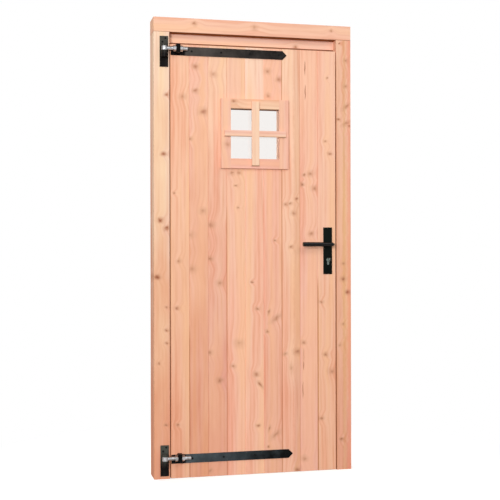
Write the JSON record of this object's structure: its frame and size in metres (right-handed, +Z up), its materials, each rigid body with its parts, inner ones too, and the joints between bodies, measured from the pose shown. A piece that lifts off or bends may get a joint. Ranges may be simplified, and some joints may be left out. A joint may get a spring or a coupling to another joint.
{
  "type": "glazed door",
  "caption": "Outward-opening plank door with a small barred window, adjustable strap hinges and a lever lock, hung flush in its timber frame.",
  "frame": {"origin": "On the floor, midway between the jambs' outer sides and midway in depth between the outside lever and the back of the frame", "axes": "+X to the right seen from outside, +Y from the outside to the inside, +Z up"},
  "size_m": [0.94, 0.1724, 2.1],
  "materials": {
    "douglas_fir": "planed, untreated",
    "black_steel": "satin powder coat",
    "zinc_steel": "zinc plated",
    "nickel": "satin nickel",
    "foam_tape": "matt",
    "window_glass": "clear"
  },
  "bodies": {
    "frame": {"hinge_jamb": "douglas_fir", "lock_jamb": "douglas_fir", "head": "douglas_fir", "head_stop": "douglas_fir", "hinge_stop": "douglas_fir", "lock_stop": "douglas_fir", "upper_hinge_plate": "black_steel", "lower_hinge_plate": "black_steel", "upper_hinge_pin": "zinc_steel", "lower_hinge_pin": "zinc_steel", "hinge_plate_screws": "black_steel", "strike_plate": "zinc_steel", "strike_screws": "zinc_steel"},
    "leaf": {"board_1": "douglas_fir", "board_2": "douglas_fir", "board_3": "douglas_fir", "board_4": "douglas_fir", "board_5_top": "douglas_fir", "board_5_bottom": "douglas_fir", "board_6": "douglas_fir", "board_7": "douglas_fir", "board_8": "douglas_fir", "board_9": "douglas_fir", "hinge_stile": "douglas_fir", "lock_stile": "douglas_fir", "top_rail": "douglas_fir", "middle_rail": "douglas_fir", "bottom_rail": "douglas_fir", "brace": "douglas_fir", "window_stile_left": "douglas_fir", "window_stile_right": "douglas_fir", "window_rail_top": "douglas_fir", "window_rail_bottom": "douglas_fir", "inner_stile_left": "douglas_fir", "inner_stile_right": "douglas_fir", "inner_rail_top": "douglas_fir", "inner_rail_bottom": "douglas_fir", "glazing_tape": "foam_tape", "glass_pane": "window_glass", "upright_bar": "douglas_fir", "cross_bar": "douglas_fir", "upper_strap": "black_steel", "lower_strap": "black_steel", "upper_eye_bolt": "zinc_steel", "lower_eye_bolt": "zinc_steel", "adjusting_nuts": "zinc_steel", "strap_screws": "black_steel", "leaf_screws": "zinc_steel", "lock_case": "zinc_steel", "outside_plate": "black_steel", "inside_plate": "black_steel", "plate_screws": "black_steel", "cylinder_body": "nickel"},
    "lever": {"outside_lever": "black_steel", "inside_lever": "black_steel", "spindle": "zinc_steel"},
    "latch": {"latch_bolt": "nickel"},
    "dead_bolt": {"dead_bolt": "nickel"},
    "plug": {"cylinder_plug": "nickel", "key": "nickel"}
  },
  "joints": [
    {"name": "leaf_swing", "type": "hinge", "parent": "frame", "child": "leaf", "pos_m": [-0.423, -0.04875, 1], "axis": [0, 0, -1], "range_deg": [0, 170]},
    {"name": "lever_turn", "type": "hinge", "parent": "leaf", "child": "lever", "pos_m": [0.354, -0.00775, 1.066], "axis": [0, -1, 0], "range_deg": [0, 40], "stiffness_Nm_per_rad": 1.5, "springref_deg": -45.84},
    {"name": "latch_slide", "type": "slide", "parent": "leaf", "child": "latch", "axis": [-1, 0, 0], "range_m": [0, 0.012]},
    {"name": "key_turn", "type": "hinge", "parent": "leaf", "child": "plug", "pos_m": [0.354, -0.00775, 0.994], "axis": [0, 1, 0], "range_deg": [0, 360]},
    {"name": "bolt_slide", "type": "slide", "parent": "leaf", "child": "dead_bolt", "axis": [1, 0, 0], "range_m": [0, 0.02]}
  ],
  "couplings": [
    {"joint": "latch_slide", "follows": "lever_turn", "m_per_rad": 0.0171},
    {"joint": "key_turn", "follows": "bolt_slide", "rad_per_m": 314.1}
  ]
}
